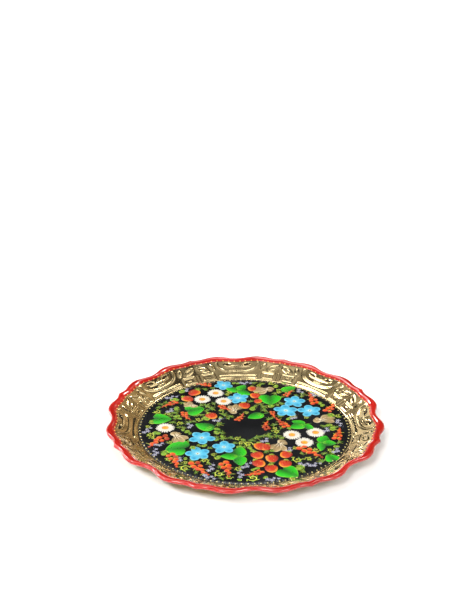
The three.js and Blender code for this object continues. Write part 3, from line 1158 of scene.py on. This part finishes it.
def soft_sun(name, azimuth, elevation, colour):
    """A distant soft light, which falls evenly on the whole floor."""
    light = bpy.data.lights.new(name, "SUN")
    light.energy = SUN_POWER
    light.angle = math.radians(SUN_WIDTH)
    light.color = colour
    lamp = bpy.data.objects.new(name, light)
    lamp.rotation_euler = heading(azimuth, elevation).to_track_quat("Z", "Y").to_euler()
    bpy.context.scene.collection.objects.link(lamp)


# The suns' power, and how many degrees across they are.
SUN_POWER, SUN_WIDTH = 1.4, 20
# The colours of the light.
DAYLIGHT, LAMP = (1.0, 1.0, 0.98), (1.0, 1.0, 1.0)
CREAMY, STRAW, GOLDEN = (1.0, 0.97, 0.90), (1.0, 0.94, 0.82), (1.0, 0.82, 0.56)

# Soft patches of the room: (azimuth, elevation, inner half-width, outer half-width, strength, colour).
# The first is the pale strip at the horizon, and the last five are the small lamps within the patches.
PATCHES = (
    (0, -90, 92, 95, 2.4, DAYLIGHT),
    (0, 90, 12, 30, 0.30, (1.0, 0.98, 0.94)),
    (-5, 3, 3, 8, 0.75, CREAMY),
    (-12, 11, 3, 8, 0.85, CREAMY),
    (-18, 20, 4, 8, 0.80, (1.0, 0.96, 0.86)),
    (-25, 31, 4, 9, 0.32, (1.0, 0.92, 0.78)),
    (-31, 40, 3, 8, 0.40, STRAW),
    (-38, 50, 5, 11, 0.28, STRAW),
    (-30, 6, 4, 8, 2.6, DAYLIGHT),
    (-43, 8, 4, 9, 2.4, DAYLIGHT),
    (-58, 11, 4, 9, 2.0, DAYLIGHT),
    (-46, 68, 6, 14, 0.26, (1.0, 0.96, 0.90)),
    (-50, 18, 4, 10, 4.0, DAYLIGHT),
    (-64, 32, 6, 11, 4.5, DAYLIGHT),
    (-88, 44, 8, 15, 3.6, DAYLIGHT),
    (-13, 42, 4, 8, 3.2, DAYLIGHT),
    (-8, 56, 5, 10, 2.6, DAYLIGHT),
    (4, 45, 3, 7, 3.2, DAYLIGHT),
    (-152, 54, 8, 16, 2.4, DAYLIGHT),
    (142, 54, 8, 16, 2.0, DAYLIGHT),
    (14, 6, 4, 9, 0.45, (1.0, 0.70, 0.42)),
    (23, 17, 4, 9, 0.55, (1.0, 0.72, 0.42)),
    (31, 29, 4, 9, 0.32, (1.0, 0.76, 0.48)),
    (41, 42, 5, 12, 0.42, GOLDEN),
    (21, 45, 3, 7, 2.4, DAYLIGHT),
    (30, 5, 3, 7, 1.3, (1.0, 0.80, 0.52)),
    (46, 10, 4, 9, 1.6, GOLDEN),
    (20, 34, 2, 4, 1.6, (1.0, 0.86, 0.62)),
    (62, 34, 6, 12, 1.5, (1.0, 0.96, 0.88)),
    (92, 52, 8, 16, 1.5, DAYLIGHT),
    (180, 15, 50, 100, 0.14, (1.0, 0.98, 0.96)),
    (-45, 14, 2, 5, 22.0, LAMP),
    (-63, 27, 3, 6, 26.0, LAMP),
    (-92, 42, 3, 7, 22.0, LAMP),
    (-14, 36, 1.5, 3, 30.0, LAMP),
    (22, 44, 1.5, 3, 18.0, LAMP),
)
ROOM = (0.035, 0.032, 0.029)


def light_room():
    """A dim room, mottled a little, with soft bright patches, a pale horizon and two soft suns."""
    world = bpy.data.worlds.new("studio")
    bpy.context.scene.world = world
    w = Nodes(world, "Generated")
    total = list(ROOM)
    for azimuth, elevation, inner, outer, strength, colour in PATCHES:
        toward = w.vector("DOT_PRODUCT", {0: w.place, 1: list(heading(azimuth, elevation))})
        low, high = math.cos(math.radians(outer)), math.cos(math.radians(inner))
        edge = w.ramp(toward.outputs["Value"], low, high)
        patch = w.vector("SCALE", {0: [c * strength for c in colour], "Scale": edge})
        total = w.vector("ADD", {0: patch.outputs["Vector"], 1: total}).outputs["Vector"]
    mottling = w.ramp(w.noise(6.0, 1.0, 0.5), 0.35, 0.65, 0.45, 1.6, "LINEAR")
    mottled = w.vector("SCALE", {0: total, "Scale": mottling})
    w.feed(mottled.outputs["Vector"], w.tree.nodes["Background"].inputs["Color"])
    soft_sun("key", -145, 46, (1.0, 0.99, 0.97))
    soft_sun("fill", 140, 38, (0.97, 0.98, 1.0))


# The camera's place in metres, its turn to the right, its tilt down and its roll.
CAMERA_SPOT = (-0.0963, -1.3666, 0.7757)
VIEW_TURN, VIEW_DOWN, VIEW_ROLL = math.radians(2.83), math.radians(22.85), math.radians(0.33)
LENS = 65.5
SENSOR = 36.0


def place_camera():
    """The camera at the photograph's height, distance and angle."""
    ahead = Vector((math.sin(VIEW_TURN), math.cos(VIEW_TURN), 0)) * math.cos(VIEW_DOWN)
    ahead.z = -math.sin(VIEW_DOWN)
    level = ahead.cross(Vector((0, 0, 1))).normalized()
    over = level.cross(ahead)
    right = level * math.cos(VIEW_ROLL) + over * math.sin(VIEW_ROLL)
    up = over * math.cos(VIEW_ROLL) - level * math.sin(VIEW_ROLL)
    turn = Matrix((right, up, -ahead)).transposed()
    data = bpy.data.cameras.new("view")
    data.lens = LENS
    data.sensor_width = SENSOR
    camera = bpy.data.objects.new("view", data)
    camera.matrix_world = Matrix.Translation(CAMERA_SPOT) @ turn.to_4x4()
    bpy.context.scene.collection.objects.link(camera)
    bpy.context.scene.camera = camera


brass = make_brass("brass_polished", linear("EBD4A0"), linear("8E6C38"), 0.11, 0.19, 0.0008)
brass_under = make_brass("brass_underside", linear("B79A62"), linear("5B4422"), 0.34, 0.5, 0.0004)
enamel = make_lacquer("enamel_red", linear("B62018"), linear("A21810"), 0.08, 0.14, 0.7, 0.00003)
lacquer = make_lacquer("lacquer_black", linear("0E0F11"), linear("191B1D"), 0.08, 0.16, 0.3, 0.00004)
colours = make_paint("paint_colours", 0.0, 0.25, 0.42)
bronze = make_paint("paint_bronze", 0.35, 0.32, 0.48)

build_pan(brass, brass_under)
build_rim_coat(enamel)
build_wire(make_steel("steel_drawn"))
build_ground(lacquer)
paint_floor(colours, bronze)
dot_rng = random.Random(5)
paint_border_dots(colours, dot_rng)
paint_rim_dots(colours, dot_rng)
build_floor()
light_room()
place_camera()
bpy.context.scene.view_settings.view_transform = "Standard"
